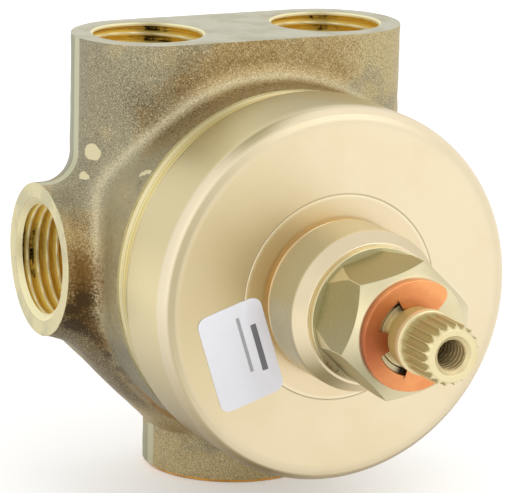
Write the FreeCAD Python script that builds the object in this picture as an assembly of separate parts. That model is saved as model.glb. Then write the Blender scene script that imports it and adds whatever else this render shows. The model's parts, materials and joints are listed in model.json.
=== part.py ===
import FreeCAD, Part
import math
import os

# Concealed five-port diverter valve, in millimetres: two inlets at the sides, two outlets on top, one below.
# The spindle points to -Y and +Z is up. The origin is the centre of the bottom outlet's mouth.
# Depths are distances in front of the ports' plane, so a larger depth is nearer the spindle's end.
# Clock angles start at the top and grow towards the left as seen from the front.

Vector = FreeCAD.Vector

# Port positions
axis_height = 38.7
top_face_height = 37.6
inlet_reach = 36.0
top_outlet_offset = 16.6

# Port sizes, with bores at the root of the pipe threads
inlet_outer_r = 13.0
top_outlet_outer_r = 12.9
bottom_outlet_outer_r = 15.0
bottom_edge_chamfer = 0.6
half_inch_root_r = 10.48
half_inch_length = 15.0
three_quarter_root_r = 13.22
three_quarter_length = 16.0

# Cast body
web_inlet_step = 0.2
web_foot_inset = 0.25
web_half_depth = 12.0
web_edge_round = 9.0
web_end_setback = 2.0
web_end_past_boss = 3.4
web_foot_drop = 0.9
foot_dome_drop = 16.0
inlet_root_round = 5.0
boss_r = 30.6
boss_root_round = 3.5
boss_root_share = 0.65
boss_front = 20.7
rim_r = 30.3
rim_front = 24.3
chamber_r = 26.5
chamber_floor = 14.0

# Waterways inside the body
side_gallery_r = 8.0
top_gallery_foot = 13.5
inlet_gallery_end = 18.0
bottom_gallery_r = 9.0
bottom_gallery_top = 8.0
outlet_hole_r = 4.5
outlet_hole_circle_r = 12.0
outlet_clocks = {"top_left": 60.0, "top_right": -60.0, "bottom": 180.0}
top_passage_rise = 9.0
inlet_hole_r = 3.5
inlet_hole_circle_r = 22.5
seat_recess_r = 6.4
seat_recess_depth = 2.0

# Bonnet, with the neck that carries the gland nut
register_front = 26.0
bonnet_r = 31.4
bonnet_front = 41.0
bonnet_edge_round = 2.8
bonnet_end_wall = 5.0
bonnet_bore_r = 19.5
spigot_length = 5.8
spigot_land = 1.5
pad_r = 17.0
pad_height = 0.15
neck_r = 13.3
neck_front = 53.0
neck_chamfer_length = 2.3
neck_chamfer_width = 1.6
neck_relief_depth = 0.5
neck_relief_width = 1.0
neck_bore_r = 9.0

# Gland nut
gland_flange_r = 11.2
gland_flange_thickness = 0.8
hex_across_flats = 20.0
hex_corner_clock = 45.0
hex_corner_back_r = 10.8
hex_corner_front_r = 11.48
hex_corner_taper_length = 7.6
gland_face_r = 9.3
gland_front = 66.3
gland_shank_length = 13.0

# Stem
shaft_r = 5.4
shaft_back = 30.0
stem_flange_r = 7.5
stem_flange_thickness = 2.0
tongue_length = 5.4
tongue_width = 9.2
tongue_thickness = 5.0
clip_groove_r = 4.5
journal_r = 4.9
collar_r = 5.3
collar_back = 70.5
collar_width = 1.5
collar_round = 0.35
spline_r = 5.0
spline_teeth = 20
spline_flute_r = 0.8
spline_depth = 0.5
stem_front = 80.2
stem_chamfer = 0.9
screw_hole_r = 3.0
screw_hole_depth = 12.0
screw_hole_chamfer = 0.2
stem_ring_depths = {"stem_o_ring_back": 47.0, "stem_o_ring_front": 51.0}

# Retaining clip
clip_outer_r = 9.0
clip_thickness = 1.1
clip_lug_clock = 97.0
clip_lug_half_angle = 17.0
clip_relief_half_angle = 71.0
clip_mouth_half_angle = 38.0
clip_relief_r = 6.4
clip_end_round = 2.0

# Ceramic discs and the carrier that turns the front one
fixed_disc_r = 18.5
fixed_disc_thickness = 4.2
moving_disc_r = 17.4
moving_disc_thickness = 4.0
carrier_r = 17.4
carrier_thickness = 4.0
carrier_hub_r = 7.0
drive_lug_inner_r = 14.5
drive_lug_half_angle = 8.0
drive_lug_length = 2.4
drive_lug_clocks = (90.0, -90.0)
stop_lug_inner_r = 11.0
stop_lug_outer_r = 15.0
stop_lug_height = 4.6
turn_each_way = 120.0
stop_pin_r = 2.0
stop_pin_circle_r = 13.0
stop_pin_length = 9.5
stop_pin_socket = 2.5
dowel_r = 1.5
dowel_circle_r = 18.2
dowel_clocks = {"dowel_left": 120.0, "dowel_right": -120.0}
dowel_socket = 2.5
dowel_length = 5.0

# Seals and the label
stem_ring_section_r = 0.72
bonnet_ring_section_r = 1.1
gland_ring_section_r = 0.75
ring_groove_side_gap = 0.28
seat_seal_wall = 1.7
thrust_washer_thickness = 1.4
label_length = 16.4
label_width = 10.4
label_corner_r = 1.6
label_center_x = -17.9
label_center_z = -7.9
label_lean = 18.5
label_thickness = 0.1

# Clearances
running_gap = 0.05
face_gap = 0.05
ring_gap = 0.03
thread_gap = 0.05
notch_gap = 0.1
stop_gap_angle = 0.5

# Stations that follow from the sizes above
bonnet_inner_face = bonnet_front - bonnet_end_wall
pad_front = bonnet_front + pad_height
spigot_r = chamber_r - thread_gap
spigot_back = rim_front - spigot_length
bonnet_ring_groove_width = 2 * (bonnet_ring_section_r + ring_groove_side_gap)
bonnet_ring_groove_r = spigot_r - 2 * bonnet_ring_section_r - ring_gap
stem_ring_groove_width = 2 * (stem_ring_section_r + ring_groove_side_gap)
stem_ring_groove_r = shaft_r - 2 * stem_ring_section_r - ring_gap
gland_bore_r = shaft_r + running_gap
gland_shank_r = neck_bore_r - thread_gap
gland_back = neck_front - gland_shank_length
gland_recess_r = gland_shank_r + 2 * (gland_ring_section_r + ring_gap)
gland_recess_depth = 2 * (gland_ring_section_r + ring_gap)
thrust_washer_front = gland_back - face_gap
thrust_washer_back = thrust_washer_front - thrust_washer_thickness
stem_flange_front = thrust_washer_back - face_gap
stem_flange_back = stem_flange_front - stem_flange_thickness
clip_back = gland_front + 2 * face_gap
clip_front = clip_back + clip_thickness
collar_front = collar_back + collar_width
fixed_disc_back = chamber_floor + 2 * face_gap
fixed_disc_front = fixed_disc_back + fixed_disc_thickness
moving_disc_back = fixed_disc_front + face_gap
moving_disc_front = moving_disc_back + moving_disc_thickness
carrier_back = moving_disc_front + face_gap
carrier_front = carrier_back + carrier_thickness
drive_lug_outer_r = carrier_r


# Solid turned about the spindle axis from a closed outline of (radius, depth) points
def turned(profile):
    points = [Vector(radius, -depth, 0) for radius, depth in profile]
    face = Part.Face(Part.makePolygon(points + points[:1]))
    return face.revolve(Vector(0, 0, 0), Vector(0, 1, 0), 360)


# Point on a circle about the spindle axis
def clock_point(radius, clock, depth):
    angle = math.radians(clock)
    return Vector(-radius * math.sin(angle), -depth, radius * math.cos(angle))


# Round bar parallel to the spindle, between two depths
def bar(radius, circle_r, clock, back, front):
    return Part.makeCylinder(radius, front - back, clock_point(circle_r, clock, back), Vector(0, -1, 0))


# Flat ring sector between two clock angles and two depths
def sector(inner_r, outer_r, start, end, back, front):
    middle = (start + end) / 2
    corners = [clock_point(radius, clock, back) for radius in (inner_r, outer_r) for clock in (start, end)]
    inner = Part.Arc(corners[0], clock_point(inner_r, middle, back), corners[1]).toShape()
    outer = Part.Arc(corners[2], clock_point(outer_r, middle, back), corners[3]).toShape()
    sides = [Part.makeLine(corners[0], corners[2]), Part.makeLine(corners[1], corners[3])]
    wire = Part.Wire(Part.__sortEdges__([inner, outer] + sides))
    return Part.Face(wire).extrude(Vector(0, back - front, 0))


# Circular edges about the spindle axis with a given radius and depth
def rims(shape, radius, depth):
    found = []
    for edge in shape.Edges:
        if isinstance(edge.Curve, Part.Circle) and abs(edge.Curve.Radius - radius) < 0.001:
            if abs(edge.Curve.Center.y + depth) < 0.001:
                found.append(edge)
    return found


# Edges that a cylinder of one radius shares with the other faces, without its own seam
def border_edges(shape, radius):
    found = []
    for edge in shape.Edges:
        faces = shape.ancestorsOfType(edge, Part.Face)
        round_faces = [face for face in faces if isinstance(face.Surface, Part.Cylinder)]
        own = [face for face in round_faces if abs(face.Surface.Radius - radius) < 0.001]
        if len(faces) == 2 and len(own) == 1:
            found.append(edge)
    return found


# O-ring lying about the spindle axis
def o_ring(section_r, middle_r, depth):
    return Part.makeTorus(middle_r, section_r, Vector(0, -depth, 0), Vector(0, 1, 0))


# Block of the two top outlets: a flat-sided oval standing on the inlets' plane
def outlet_block():
    side = top_outlet_outer_r
    left = -top_outlet_offset
    right = top_outlet_offset
    corners = [Vector(left, -side, 0), Vector(right, -side, 0), Vector(right, side, 0), Vector(left, side, 0)]
    right_end = Part.Arc(corners[1], Vector(right + side, 0, 0), corners[2]).toShape()
    left_end = Part.Arc(corners[3], Vector(left - side, 0, 0), corners[0]).toShape()
    front = Part.makeLine(corners[0], corners[1])
    back = Part.makeLine(corners[2], corners[3])
    return Part.Face(Part.Wire([front, right_end, back, left_end])).extrude(Vector(0, 0, top_face_height))


# Web that slants from each inlet, just past the boss, down to the bottom outlet, with well-rounded edges
def diagonal_web():
    end_x = min(inlet_reach - web_end_setback, boss_r + web_end_past_boss)
    foot_x = bottom_outlet_outer_r - web_foot_inset
    foot_z = boss_r + web_foot_drop
    outline = [(end_x, 0), (end_x, -inlet_outer_r - web_inlet_step), (foot_x, -foot_z)]
    outline += [(-x, z) for x, z in reversed(outline)]
    points = [Vector(x, -web_half_depth, z) for x, z in outline]
    prism = Part.Face(Part.makePolygon(points + points[:1])).extrude(Vector(0, 2 * web_half_depth, 0))
    slanting = []
    for edge in prism.Edges:
        if edge.BoundBox.XLength > web_inlet_step and edge.BoundBox.ZLength > web_inlet_step:
            slanting.append(edge)
    return prism.makeFillet(web_edge_round, slanting)


# Bottom outlet's round wall, which ends in a dome inside the body
def domed_foot():
    wall_length = axis_height - foot_dome_drop
    wall = Part.makeCylinder(bottom_outlet_outer_r, wall_length, Vector(0, 0, -axis_height), Vector(0, 0, 1))
    dome = Part.makeSphere(bottom_outlet_outer_r, Vector(0, 0, -foot_dome_drop))
    return wall.fuse(dome).removeSplitter()


# Outside of the casting: block, inlets, web, bottom outlet and round boss, with cast roots
def casting():
    inlets = Part.makeCylinder(inlet_outer_r, 2 * inlet_reach, Vector(-inlet_reach, 0, 0), Vector(1, 0, 0))
    head = outlet_block().fuse(inlets).removeSplitter().Solids[0]
    crossings = [edge for edge in head.Edges if isinstance(edge.Curve, Part.BSplineCurve)]
    head = head.makeFillet(inlet_root_round, crossings)
    boss = Part.makeCylinder(boss_r, boss_front, Vector(0, 0, 0), Vector(0, -1, 0))
    body = head.fuse([diagonal_web(), domed_foot()]).removeSplitter().fuse(boss).removeSplitter().Solids[0]
    free_rim = rims(body, boss_r, boss_front)
    roots = [e for e in border_edges(body, boss_r) if not any(e.isSame(rim) for rim in free_rim)]
    body = body.makeFillet(min(boss_root_round, boss_root_share * (inlet_reach - boss_r)), roots)
    circles = [e for e in body.Edges if isinstance(e.Curve, Part.Circle)]
    mouth = [e for e in circles if abs(e.Curve.Center.z + axis_height) < 0.001]
    body = body.makeChamfer(bottom_edge_chamfer, mouth)
    rim = turned([(0, 0), (rim_r, 0), (rim_r, rim_front), (0, rim_front)])
    return body.fuse(rim).removeSplitter().Solids[0]


# Threaded mouth and plain gallery of a port, drilled from its mouth towards the middle
def port_bore(mouth, inward, root_r, thread_length, gallery_r, gallery_length):
    thread = Part.makeCylinder(root_r, thread_length, mouth, inward)
    gallery = Part.makeCylinder(gallery_r, gallery_length, mouth, inward)
    return thread.fuse(gallery)


# Everything that is bored out of the casting
def waterways():
    cuts = [turned([(0, chamber_floor), (chamber_r, chamber_floor), (chamber_r, rim_front), (0, rim_front)])]
    half_inch = (half_inch_root_r, half_inch_length, side_gallery_r)
    three_quarter = (three_quarter_root_r, three_quarter_length, bottom_gallery_r)
    inlet_length = inlet_reach - inlet_gallery_end
    top_length = top_face_height - top_gallery_foot
    for side in (-1, 1):
        inlet_mouth = Vector(side * inlet_reach, 0, 0)
        cuts.append(port_bore(inlet_mouth, Vector(-side, 0, 0), *half_inch, inlet_length))
        top_mouth = Vector(side * top_outlet_offset, 0, top_face_height)
        cuts.append(port_bore(top_mouth, Vector(0, 0, -1), *half_inch, top_length))
        cuts.append(bar(inlet_hole_r, inlet_hole_circle_r, 90 * side, 0, chamber_floor))
    bottom_mouth = Vector(0, 0, -axis_height)
    bottom_length = axis_height - bottom_gallery_top
    cuts.append(port_bore(bottom_mouth, Vector(0, 0, 1), *three_quarter, bottom_length))
    seat_floor = chamber_floor - seat_recess_depth
    for name, clock in outlet_clocks.items():
        cuts.append(bar(seat_recess_r, outlet_hole_circle_r, clock, seat_floor, chamber_floor))
        cuts.append(outlet_passage(name, clock))
    for clock in dowel_clocks.values():
        cuts.append(bar(dowel_r, dowel_circle_r, clock, chamber_floor - dowel_socket, chamber_floor))
    return cuts


# Drilling from a seat to its gallery: straight back for the bottom outlet, slanting upwards for the top ones
def outlet_passage(name, clock):
    seat = clock_point(outlet_hole_circle_r, clock, chamber_floor)
    target = Vector(seat.x, 0, seat.z)
    if name != "bottom":
        side = math.copysign(1, seat.x)
        target = Vector(side * top_outlet_offset, 0, seat.z + top_passage_rise)
    way = target.sub(seat)
    return Part.makeCylinder(outlet_hole_r, way.Length, seat, way)


def valve_body():
    return casting().cut(waterways()).removeSplitter()


def bonnet():
    groove_back = spigot_back + spigot_land
    groove_front = groove_back + bonnet_ring_groove_width
    relief_r = neck_r - neck_relief_depth
    relief_front = pad_front + neck_relief_width
    recess_back = neck_front - gland_recess_depth
    profile = [
        (bonnet_bore_r, spigot_back), (spigot_r, spigot_back),
        (spigot_r, groove_back), (bonnet_ring_groove_r, groove_back),
        (bonnet_ring_groove_r, groove_front), (spigot_r, groove_front),
        (spigot_r, rim_front), (rim_r, rim_front), (rim_r, register_front),
        (bonnet_r, register_front), (bonnet_r, bonnet_front),
        (pad_r, bonnet_front), (pad_r, pad_front),
        (relief_r, pad_front), (relief_r, relief_front), (neck_r, relief_front),
        (neck_r, neck_front - neck_chamfer_length), (neck_r - neck_chamfer_width, neck_front),
        (gland_recess_r, neck_front), (gland_recess_r, recess_back), (neck_bore_r, recess_back),
        (neck_bore_r, bonnet_inner_face), (bonnet_bore_r, bonnet_inner_face),
    ]
    shape = turned(profile)
    shape = shape.makeFillet(bonnet_edge_round, rims(shape, bonnet_r, bonnet_front))
    socket = bar(stop_pin_r, stop_pin_circle_r, 0, bonnet_inner_face, bonnet_inner_face + stop_pin_socket)
    return shape.cut(socket)


# Hexagon bar about the spindle axis
def hex_bar(across_flats, back, front):
    corner_r = across_flats / 2 / math.cos(math.radians(30))
    points = [clock_point(corner_r, hex_corner_clock + 60 * step, back) for step in range(6)]
    return Part.Face(Part.makePolygon(points + points[:1])).extrude(Vector(0, back - front, 0))


# Screwed gland: shank in the neck, flange on the neck's end, and a hexagon whose corners are turned
# down towards the flange and to a cone at the front
def gland_nut():
    flange_front = neck_front + gland_flange_thickness
    cone_back = gland_front - (hex_corner_front_r - gland_face_r)
    corners = turned([
        (0, flange_front), (hex_corner_back_r, flange_front),
        (hex_corner_front_r, flange_front + hex_corner_taper_length), (hex_corner_front_r, cone_back),
        (gland_face_r, gland_front), (0, gland_front),
    ])
    head = hex_bar(hex_across_flats, flange_front, gland_front).common(corners)
    shank = turned([
        (0, gland_back), (gland_shank_r, gland_back), (gland_shank_r, neck_front),
        (gland_flange_r, neck_front), (gland_flange_r, flange_front), (0, flange_front),
    ])
    return head.fuse(shank).removeSplitter().cut(bar(gland_bore_r, 0, 0, gland_back, gland_front))


# Flutes that leave the spline's teeth standing
def spline_flutes():
    middle_r = spline_r - spline_depth + spline_flute_r
    clocks = [360 * tooth / spline_teeth for tooth in range(spline_teeth)]
    return [bar(spline_flute_r, middle_r, clock, collar_front, stem_front) for clock in clocks]


def stem():
    profile = [(0, shaft_back), (shaft_r, shaft_back)]
    profile += [(shaft_r, stem_flange_back), (stem_flange_r, stem_flange_back)]
    profile += [(stem_flange_r, stem_flange_front), (shaft_r, stem_flange_front)]
    for depth in stem_ring_depths.values():
        back = depth - stem_ring_groove_width / 2
        front = depth + stem_ring_groove_width / 2
        profile += [(shaft_r, back), (stem_ring_groove_r, back)]
        profile += [(stem_ring_groove_r, front), (shaft_r, front)]
    profile += [(shaft_r, clip_back - face_gap), (clip_groove_r, clip_back - face_gap)]
    profile += [(clip_groove_r, clip_front + face_gap), (journal_r, clip_front + face_gap)]
    profile += [(journal_r, collar_back), (collar_r, collar_back)]
    profile += [(collar_r, collar_front), (spline_r, collar_front)]
    profile += [(spline_r, stem_front - stem_chamfer), (spline_r - stem_chamfer, stem_front), (0, stem_front)]
    shape = turned(profile)
    collar_edges = rims(shape, collar_r, collar_back)
    shape = shape.makeFillet(collar_round, collar_edges)
    tongue = Part.makeBox(tongue_width, tongue_length, tongue_thickness)
    tongue.translate(Vector(-tongue_width / 2, -shaft_back, -tongue_thickness / 2))
    shape = shape.fuse(tongue).removeSplitter()
    mouth_r = screw_hole_r + screw_hole_chamfer
    hole_back = stem_front - screw_hole_depth
    hole = turned([
        (0, hole_back), (screw_hole_r, hole_back), (screw_hole_r, stem_front - screw_hole_chamfer),
        (mouth_r, stem_front), (0, stem_front),
    ])
    return shape.cut(spline_flutes() + [hole])


# Three-lug retaining clip, open on the side across from its middle lug
def e_clip():
    inner_r = clip_groove_r + ring_gap
    mouth_clock = clip_lug_clock + 180
    plate = sector(inner_r, clip_outer_r, mouth_clock + clip_mouth_half_angle,
                   mouth_clock + 360 - clip_mouth_half_angle, clip_back, clip_front)
    for side in (-1, 1):
        start = clip_lug_clock + side * clip_lug_half_angle
        end = clip_lug_clock + side * clip_relief_half_angle
        plate = plate.cut(sector(inner_r - notch_gap, clip_relief_r, start, end, clip_back, clip_front))
    corners = []
    for edge in plate.Edges:
        middle = edge.CenterOfMass
        if isinstance(edge.Curve, Part.Line) and edge.BoundBox.YLength > clip_thickness / 2:
            if math.hypot(middle.x, middle.z) > clip_relief_r + notch_gap:
                corners.append(edge)
    return plate.makeFillet(clip_end_round, corners)


def fixed_disc():
    disc = bar(fixed_disc_r, 0, 0, fixed_disc_back, fixed_disc_front)
    cuts = [bar(outlet_hole_r, outlet_hole_circle_r, clock, fixed_disc_back, fixed_disc_front)
            for clock in outlet_clocks.values()]
    cuts += [bar(dowel_r + notch_gap, dowel_circle_r, clock, fixed_disc_back, fixed_disc_front)
             for clock in dowel_clocks.values()]
    return disc.cut(cuts)


def moving_disc():
    disc = bar(moving_disc_r, 0, 0, moving_disc_back, moving_disc_front)
    open_clock = outlet_clocks["bottom"]
    cuts = [bar(outlet_hole_r, outlet_hole_circle_r, open_clock, moving_disc_back, moving_disc_front)]
    notch_angle = drive_lug_half_angle + math.degrees(notch_gap / drive_lug_inner_r)
    notch_back = carrier_back - drive_lug_length - notch_gap
    for clock in drive_lug_clocks:
        cuts.append(sector(drive_lug_inner_r - notch_gap, moving_disc_r + notch_gap,
                           clock - notch_angle, clock + notch_angle, notch_back, moving_disc_front))
    return disc.cut(cuts)


# Carrier between stem and moving disc: slotted hub, lugs that drive the disc and lugs that meet the stop pin
def carrier():
    hub_front = shaft_back - face_gap
    plate = turned([
        (0, carrier_back), (carrier_r, carrier_back), (carrier_r, carrier_front),
        (carrier_hub_r, carrier_front), (carrier_hub_r, hub_front), (0, hub_front),
    ])
    lug_back = carrier_back - drive_lug_length
    lugs = [sector(drive_lug_inner_r, drive_lug_outer_r, clock - drive_lug_half_angle,
                   clock + drive_lug_half_angle, lug_back, carrier_back) for clock in drive_lug_clocks]
    pin_angle = math.degrees(math.asin(stop_pin_r / stop_pin_circle_r))
    stop_angle = 180 - turn_each_way - pin_angle - stop_gap_angle
    stop_front = carrier_front + stop_lug_height
    lugs.append(sector(stop_lug_inner_r, stop_lug_outer_r, 180 - stop_angle, 180 + stop_angle,
                       carrier_front, stop_front))
    slot_width = tongue_width + 2 * notch_gap
    slot_thickness = tongue_thickness + 2 * notch_gap
    slot_back = shaft_back - tongue_length - notch_gap
    slot = Part.makeBox(slot_width, hub_front - slot_back, slot_thickness)
    slot.translate(Vector(-slot_width / 2, -hub_front, -slot_thickness / 2))
    hole = bar(outlet_hole_r, outlet_hole_circle_r, outlet_clocks["bottom"], carrier_back, stop_front)
    return plate.fuse(lugs).removeSplitter().cut([slot, hole])


def thrust_washer():
    inner_r = shaft_r + running_gap
    outer_r = neck_bore_r - notch_gap
    return turned([
        (inner_r, thrust_washer_back), (outer_r, thrust_washer_back),
        (outer_r, thrust_washer_front), (inner_r, thrust_washer_front),
    ])


# Rubber ring in the recess round an outlet hole
def seat_seal(clock):
    back = chamber_floor - seat_recess_depth + face_gap
    front = chamber_floor + face_gap
    outer_r = seat_recess_r - face_gap
    ring = bar(outer_r, outlet_hole_circle_r, clock, back, front)
    return ring.cut(bar(outer_r - seat_seal_wall, outlet_hole_circle_r, clock, back, front))


# Paper label lying on the bonnet's face and over the edge of its raised pad
def label(bonnet_shape):
    plate = Part.makeBox(label_width, pad_height + label_thickness, label_length)
    uprights = [e for e in plate.Edges if e.BoundBox.YLength > pad_height]
    plate = plate.makeFillet(label_corner_r, uprights)
    plate.translate(Vector(-label_width / 2, -pad_front - label_thickness, -label_length / 2))
    plate.rotate(Vector(0, 0, 0), Vector(0, 1, 0), -label_lean)
    plate.translate(Vector(label_center_x, 0, label_center_z))
    return plate.cut(bonnet_shape)


def all_parts():
    bonnet_shape = bonnet()
    bonnet_ring_depth = spigot_back + spigot_land + bonnet_ring_groove_width / 2
    bonnet_ring_r = spigot_r - bonnet_ring_section_r
    stem_ring_r = shaft_r - stem_ring_section_r
    gland_ring_r = gland_shank_r + ring_gap + gland_ring_section_r
    gland_ring_depth = neck_front - ring_gap - gland_ring_section_r
    pin_front = bonnet_inner_face + stop_pin_socket
    parts = {
        "valve_body": valve_body(),
        "bonnet": bonnet_shape,
        "bonnet_o_ring": o_ring(bonnet_ring_section_r, bonnet_ring_r, bonnet_ring_depth),
        "gland_nut": gland_nut(),
        "gland_o_ring": o_ring(gland_ring_section_r, gland_ring_r, gland_ring_depth),
        "stem": stem(),
        "e_clip": e_clip(),
        "thrust_washer": thrust_washer(),
        "carrier": carrier(),
        "moving_disc": moving_disc(),
        "fixed_disc": fixed_disc(),
        "stop_pin": bar(stop_pin_r, stop_pin_circle_r, 0, pin_front - stop_pin_length, pin_front),
        "label": label(bonnet_shape),
    }
    for name, depth in stem_ring_depths.items():
        parts[name] = o_ring(stem_ring_section_r, stem_ring_r, depth)
    for name, clock in outlet_clocks.items():
        parts["seat_seal_" + name] = seat_seal(clock)
    for name, clock in dowel_clocks.items():
        back = chamber_floor - dowel_socket
        parts[name] = bar(dowel_r, dowel_circle_r, clock, back, back + dowel_length)
    return parts


os.makedirs("parts", exist_ok=True)
for node, shape in all_parts().items():
    shape = shape.copy()
    shape.translate(Vector(0, 0, axis_height))
    print(node, len(shape.Solids), shape.isValid(), round(shape.Volume, 1))
    shape.exportStep("parts/" + node + ".step")
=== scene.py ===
import json
import math
from types import SimpleNamespace
import bpy
import numpy as np
from mathutils import Matrix, Vector


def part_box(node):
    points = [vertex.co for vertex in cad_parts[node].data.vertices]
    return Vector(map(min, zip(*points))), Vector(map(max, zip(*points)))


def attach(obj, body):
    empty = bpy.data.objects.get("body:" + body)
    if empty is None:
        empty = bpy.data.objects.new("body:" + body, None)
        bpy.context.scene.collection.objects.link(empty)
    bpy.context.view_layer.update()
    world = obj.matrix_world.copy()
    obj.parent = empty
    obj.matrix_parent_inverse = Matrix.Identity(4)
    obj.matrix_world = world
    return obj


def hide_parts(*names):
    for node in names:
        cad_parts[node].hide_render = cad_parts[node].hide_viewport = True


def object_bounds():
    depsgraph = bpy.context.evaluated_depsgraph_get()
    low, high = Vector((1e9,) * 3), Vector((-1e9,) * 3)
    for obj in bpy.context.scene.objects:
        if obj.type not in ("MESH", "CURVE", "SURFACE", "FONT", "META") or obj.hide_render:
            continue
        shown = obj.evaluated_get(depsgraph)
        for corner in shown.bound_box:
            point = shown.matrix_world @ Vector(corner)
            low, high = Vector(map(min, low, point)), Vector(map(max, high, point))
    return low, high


# Three-way diverter valve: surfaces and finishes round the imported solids
# Lengths are in millimetres from the spindle axis at the ports' plane, with the spindle towards -y
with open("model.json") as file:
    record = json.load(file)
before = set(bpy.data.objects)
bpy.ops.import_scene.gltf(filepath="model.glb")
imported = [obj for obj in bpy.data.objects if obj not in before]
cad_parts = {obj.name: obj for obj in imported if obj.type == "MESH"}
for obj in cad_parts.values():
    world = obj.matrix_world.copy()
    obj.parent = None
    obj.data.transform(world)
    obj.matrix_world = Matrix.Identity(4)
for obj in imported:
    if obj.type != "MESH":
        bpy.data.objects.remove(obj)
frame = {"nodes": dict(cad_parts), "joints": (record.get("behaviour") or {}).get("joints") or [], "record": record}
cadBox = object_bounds()
mm = 0.001
fullTurn = 2 * math.pi
axisPoint = np.array(frame["joints"][0]["pos_m"])
mounts = {mount["name"]: mount for mount in frame["record"]["mounts"]}
print("frame loaded:", len(frame["nodes"]), "nodes")


# A place of the frame, in metres, as millimetres from the spindle axis
def local(place):
    return (np.array(place) - axisPoint) / mm


# Share from 0 to 1 as a number grows from 0 to the span
def ramp(number, span=1.0):
    return np.clip(number / span, 0, 1)


# Bell curve of the given width about its middle
def hump(number, middle, width):
    return np.exp(-((number - middle) / width) ** 2)


# Quads of a grid whose columns join round, and whose rows do so where asked
def gridFaces(rows, columns, wrapRows):
    i = np.arange(rows if wrapRows else rows - 1)[:, None]
    j = np.arange(columns)[None]
    here, there, nextJ = i * columns, (i + 1) % rows * columns, (j + 1) % columns
    return np.stack([here + j, here + nextJ, there + nextJ, there + j], -1).reshape(-1, 4)


# Closed grid: rows joined round (a ring), or its first and last rows closed by a fan to their middle (poles)
def closedGrid(points, poles=False):
    rows, columns = points.shape[:2]
    flat = points.reshape(-1, 3)
    faces = [gridFaces(rows, columns, not poles)]
    if poles:
        middles = np.stack([points[0].mean(0), points[-1].mean(0)])
        first = np.arange(columns)
        last = first + (rows - 1) * columns
        total = len(flat)
        faces.append(np.stack([np.roll(first, -1), first, np.full(columns, total)], -1))
        faces.append(np.stack([last, np.roll(last, -1), np.full(columns, total + 1)], -1))
        flat = np.concatenate([flat, middles])
    return flat, faces


# Turns the faces round where the volume they enclose comes out negative
def outward(points, faces):
    volume = 0
    for group in faces:
        corner = points[group]
        for k in range(1, group.shape[1] - 1):
            across = np.cross(corner[:, k], corner[:, k + 1])
            volume += np.einsum("ij,ij->i", corner[:, 0], across).sum()
    return [group[:, ::-1] for group in faces] if volume < 0 else faces


# Several closed surfaces as one
def joined(*parts):
    points, quads, threes, start = [], [], [], 0
    for partPoints, partFaces in parts:
        partFaces = outward(partPoints, partFaces)
        quads += [f + start for f in partFaces if f.shape[1] == 4]
        threes += [f + start for f in partFaces if f.shape[1] == 3]
        points.append(partPoints)
        start += len(partPoints)
    return np.concatenate(points), quads + threes


# Mesh and object of one surface; numbers for the finish are 0 on points past the ends of their lists
def makePiece(name, surface, body, materials, nodes=(), faceMaterial=None, sharp=38, values=None):
    points, faces = surface
    faces = outward(points, faces)
    corners = np.concatenate([group.ravel() for group in faces]).astype(np.int32)
    sizes = np.concatenate([np.full(len(group), group.shape[1]) for group in faces])
    starts = np.concatenate([[0], np.cumsum(sizes)[:-1]]).astype(np.int32)
    mesh = bpy.data.meshes.new(name)
    mesh.vertices.add(len(points))
    mesh.vertices.foreach_set("co", (points * mm + axisPoint).astype(np.float32).ravel())
    mesh.loops.add(len(corners))
    mesh.loops.foreach_set("vertex_index", corners)
    mesh.polygons.add(len(starts))
    mesh.polygons.foreach_set("loop_start", starts)
    for material in materials:
        mesh.materials.append(material)
    if faceMaterial is not None:
        mesh.polygons.foreach_set("material_index", faceMaterial.astype(np.int32))
    mesh.update(calc_edges=True)
    mesh.polygons.foreach_set("use_smooth", np.ones(len(starts), bool))
    mesh.set_sharp_from_angle(angle=math.radians(sharp))
    for key, numbers in (values or {}).items():
        padded = np.zeros(len(points), np.float32)
        padded[:np.size(numbers)] = np.ravel(numbers)
        mesh.attributes.new(key, "FLOAT", "POINT").data.foreach_set("value", padded)
    piece = bpy.data.objects.new(name, mesh)
    bpy.context.scene.collection.objects.link(piece)
    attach(piece, body)
    if nodes:
        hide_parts(*nodes)
    print("made", name, "with", int((sizes - 2).sum()), "triangles")


# Outline whose corners (x, y, radius) become arcs that touch both sides, each of a few points
def roundedOutline(corners, steps=6, closed=True):
    leastR, leastBend = 0.02, 0.01
    table = np.array(corners, float)
    spot, radius = table[:, :2], np.maximum(table[:, 2], leastR)
    before, after = np.roll(spot, 1, 0) - spot, np.roll(spot, -1, 0) - spot
    if not closed:
        before[0], after[-1] = -after[0], -before[-1]
    before /= np.linalg.norm(before, axis=1, keepdims=True)
    after /= np.linalg.norm(after, axis=1, keepdims=True)
    half = np.arccos(np.clip((before * after).sum(1), -1, 1)) / 2
    bend = np.maximum(math.pi - 2 * half, 1e-4)
    reach = np.where(bend > leastBend, radius / np.tan(half), 0)[:, None]
    way = before + after
    way /= np.maximum(np.linalg.norm(way, axis=1, keepdims=True), 1e-9)
    middle = spot + way * (radius / np.sin(half))[:, None]
    startArm, endArm = spot + before * reach - middle, spot + after * reach - middle
    k = np.linspace(0, 1, steps)[None, :, None]
    b = bend[:, None, None]
    swept = np.sin((1 - k) * b) * startArm[:, None] + np.sin(k * b) * endArm[:, None]
    arcs = middle[:, None] + swept / np.sin(b)
    return np.where(b <= leastBend, spot[:, None], arcs).reshape(-1, 2)


# Rectangle about the origin with rounded corners
def roundedBox(halfX, halfY, radius, steps):
    signs = ((-1, -1), (1, -1), (1, 1), (-1, 1))
    return roundedOutline([(x * halfX, y * halfY, radius) for x, y in signs], steps)


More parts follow.
